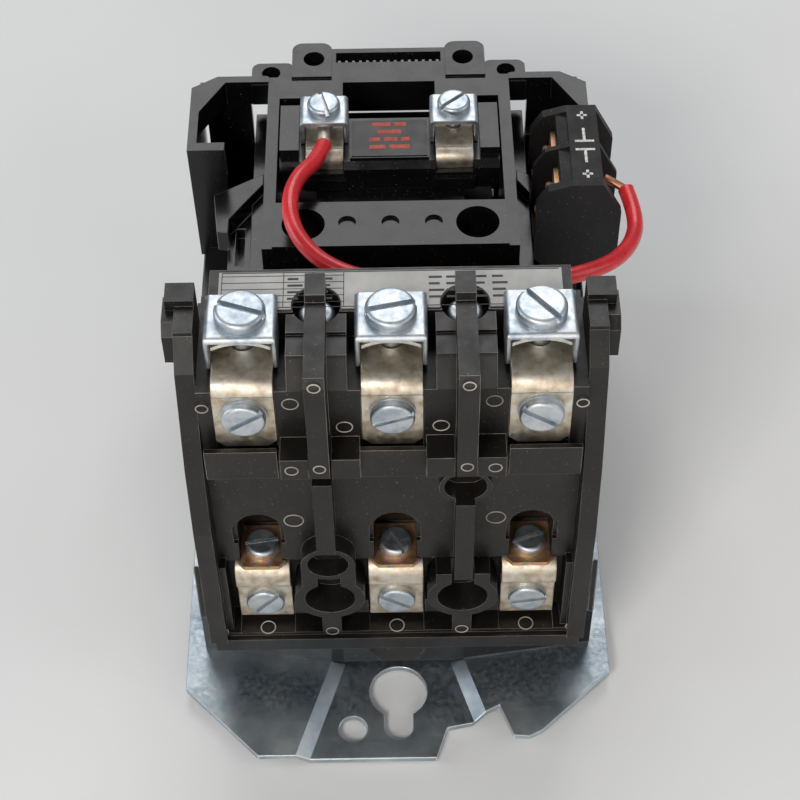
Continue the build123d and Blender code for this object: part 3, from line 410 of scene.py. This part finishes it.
def make_label_print():
    """Ruled table, frame and dashes in place of the label's wording."""
    mesh = bmesh.new()
    low, high = LABEL_TOP_MM, LABEL_TOP_MM + INK_MM
    left, right, near, far = -30.9, 30.9, -35.9, -27.4
    for y in (near, far):
        cube_into(mesh, left, right, y, y + 0.18, low, high)
    for row in range(5):
        y = near + 1.3 + LABEL_ROW_MM * row
        cube_into(mesh, left, -8.5, y, y + 0.12, low, high)
    for x in (left, -19.6, -14.2, -8.6):
        cube_into(mesh, x, x + 0.14, near, far, low, high)
    for row in range(4):
        y = near + 1.9 + LABEL_ROW_MM * row
        for x in (-18.8, -13.4, 7.0, 10.2, 14.8, 18.6):
            dash = 2.0 + 0.4 * ((row + int(x)) % 3)
            cube_into(mesh, x, x + dash, y, y + 0.5, low, high)
    finish_detail("label_print", mesh, "label_ink")


def make_coil_print():
    """Four rows of plain red dashes on the coil's label."""
    mesh = bmesh.new()
    gap = 0.8
    low, high = COIL_LABEL_TOP_MM, COIL_LABEL_TOP_MM + COIL_INK_MM
    for row, lengths in enumerate(((3.6, 4.4), (2.4, 3.0, 1.8), (5.2,), (4.0, 2.6))):
        y = 38.2 + COIL_ROW_MM * row
        x = -(sum(lengths) + gap * (len(lengths) - 1)) / 2
        for length in lengths:
            cube_into(mesh, x, x + length, y, y + 1.15, low, high)
            x += length + gap
    finish_detail("coil_print", mesh, "red_ink")


def make_contact_symbol():
    """White open-contact symbol and two end marks along the auxiliary contact's top strip."""
    mesh = bmesh.new()
    low, high = STRIP_TOP_MM, STRIP_TOP_MM + INK_MM
    middle = 42.4
    for y in (34.7, 37.3):
        cube_into(mesh, middle - 2.1, middle + 2.1, y, y + 0.6, low, high)
    for y in (31.0, 37.9):
        cube_into(mesh, middle - 0.3, middle + 0.3, y, y + 3.7, low, high)
    for y in (27.2, 45.4):
        cube_into(mesh, middle - 1.1, middle + 1.1, y, y + 0.6, low, high)
        cube_into(mesh, middle - 0.3, middle + 0.3, y - 0.9, y + 1.5, low, high)
    finish_detail("contact_symbol", mesh, "white_ink")


def make_slot_teeth():
    """Row of small ridges along the far bar's slot, coloured pale as a painted highlight."""
    mesh = bmesh.new()
    for index in range(15):
        x = -11.2 + 1.6 * index
        cube_into(mesh, x - 0.3, x + 0.3, 68.3, 69.1, 69.6, 71.2)
    finish_detail("slot_teeth", mesh, "gloss_edge_highlight")


make_ejector_rings()
make_label_print()
make_coil_print()
make_contact_symbol()
make_slot_teeth()


# Floor, light and camera
def make_floor():
    """Large pale floor under the plate."""
    mesh = bpy.data.meshes.new("floor")
    half = 3.0
    corners = [(-half, -half, 0), (half, -half, 0), (half, half, 0), (-half, half, 0)]
    mesh.from_pydata(corners, [], [(0, 1, 2, 3)])
    floor = bpy.data.objects.new("floor", mesh)
    floor.location.z = -0.0005
    bpy.context.scene.collection.objects.link(floor)
    material, tree, shader = new_material("pale floor")
    tree.links.new(ramp(tree, noise(tree, 80.0, 2.0), [(0.3, (0.76, 0.76, 0.75)), (0.7, (0.80, 0.80, 0.79))]),
                   shader.inputs["Base Color"])
    shader.inputs["Roughness"].default_value = 0.7
    mesh.materials.append(material)


def make_area_light(name, place, target, size, power, colour=(1, 1, 1)):
    """Square area light aimed at a point."""
    light = bpy.data.lights.new(name, "AREA")
    light.size = size
    light.energy = power
    light.color = colour
    holder = bpy.data.objects.new(name, light)
    holder.location = place
    holder.rotation_euler = (Vector(target) - Vector(place)).to_track_quat("-Z", "Y").to_euler()
    bpy.context.scene.collection.objects.link(holder)


def make_lights():
    """Soft studio light: overhead panel, near key, cool left side, right fill and a low near panel."""
    middle = (0.0, 0.0, 0.06)
    make_area_light("overhead panel", (0.0, 0.75, 0.95), middle, 0.7, 5.0)
    make_area_light("near key", (-0.35, -0.75, 0.75), middle, 0.3, 4.5, (1.0, 0.97, 0.93))
    make_area_light("left side", (-0.9, 0.05, 0.35), middle, 0.5, 2.5, (0.85, 0.92, 1.0))
    make_area_light("right fill", (0.8, -0.2, 0.5), middle, 0.6, 1.5)
    make_area_light("near low", (0.1, -1.0, 0.22), middle, 0.8, 4.0, (1.0, 0.95, 0.88))
    world = bpy.data.worlds.new("studio")
    world.use_nodes = True
    background = world.node_tree.nodes["Background"]
    background.inputs["Color"].default_value = (0.9, 0.93, 1.0, 1.0)
    background.inputs["Strength"].default_value = 0.2
    bpy.context.scene.world = world


def make_camera():
    """Long lens looking down at the near end, rolled a little."""
    place = Vector((1.4, -263.0, 363.5)) * MM
    forward = Vector((0.0, 0.6225, -0.7826)).normalized()
    roll = math.radians(0.94)
    flat_right = Vector((1.0, 0.0, 0.0))
    flat_up = flat_right.cross(forward)
    up = flat_up * math.cos(roll) + flat_right * math.sin(roll)
    right = flat_right * math.cos(roll) - flat_up * math.sin(roll)
    data = bpy.data.cameras.new("camera")
    data.lens = 85.5
    data.sensor_width = 36.0
    data.clip_start = 0.01
    camera = bpy.data.objects.new("camera", data)
    turn = Matrix((right, up, -forward)).transposed()
    camera.matrix_world = Matrix.Translation(place) @ turn.to_4x4()
    bpy.context.scene.collection.objects.link(camera)
    bpy.context.scene.camera = camera


make_floor()
make_lights()
make_camera()
bpy.context.scene.view_settings.view_transform = "Standard"
